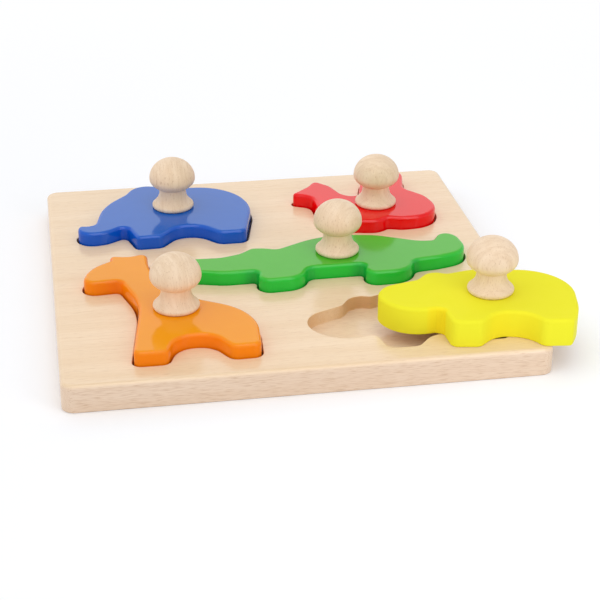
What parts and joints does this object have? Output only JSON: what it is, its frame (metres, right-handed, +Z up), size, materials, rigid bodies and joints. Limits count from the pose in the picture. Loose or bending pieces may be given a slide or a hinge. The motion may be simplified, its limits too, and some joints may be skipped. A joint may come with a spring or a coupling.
{
  "type": "peg puzzle",
  "caption": "Square wooden peg puzzle board with glossy painted animal pieces that lift out of fitted pockets by turned wooden knobs.",
  "frame": {"origin": "centre of the board's underside", "axes": "+X to the right along the board's grain, +Y to the back, +Z up out of the pockets"},
  "size_m": [0.3242, 0.3, 0.0727],
  "materials": {
    "beech": "sanded, clear satin lacquer",
    "knob_wood": "turned and sanded, clear satin lacquer",
    "blue_paint": "glossy paint on wood",
    "red_paint": "glossy paint on wood",
    "green_paint": "glossy paint on wood",
    "orange_paint": "glossy paint on wood",
    "yellow_paint": "glossy paint on wood",
    "zinc_steel": "bright zinc plating"
  },
  "bodies": {
    "board_body": {"board": "beech"},
    "elephant_body": {"elephant": "blue_paint", "elephant_knob": "knob_wood", "elephant_screw": "zinc_steel"},
    "seal_body": {"seal": "red_paint", "seal_knob": "knob_wood", "seal_screw": "zinc_steel"},
    "crocodile_body": {"crocodile": "green_paint", "crocodile_knob": "knob_wood", "crocodile_screw": "zinc_steel"},
    "giraffe_body": {"giraffe": "orange_paint", "giraffe_knob": "knob_wood", "giraffe_screw": "zinc_steel"},
    "hippo_body": {"hippo": "yellow_paint", "hippo_knob": "knob_wood", "hippo_screw": "zinc_steel"}
  },
  "joints": [
    {"name": "elephant_lift", "type": "slide", "parent": "board_body", "child": "elephant_body", "axis": [0, 0, 1], "range_m": [0, 0.065]},
    {"name": "seal_lift", "type": "slide", "parent": "board_body", "child": "seal_body", "axis": [0, 0, 1], "range_m": [0, 0.065]},
    {"name": "crocodile_lift", "type": "slide", "parent": "board_body", "child": "crocodile_body", "axis": [0, 0, 1], "range_m": [0, 0.065]},
    {"name": "giraffe_lift", "type": "slide", "parent": "board_body", "child": "giraffe_body", "axis": [0, 0, 1], "range_m": [0, 0.065]},
    {"name": "hippo_lift", "type": "slide", "parent": "board_body", "child": "hippo_body", "axis": [0, 0, 1], "range_m": [0, 0.065]}
  ]
}
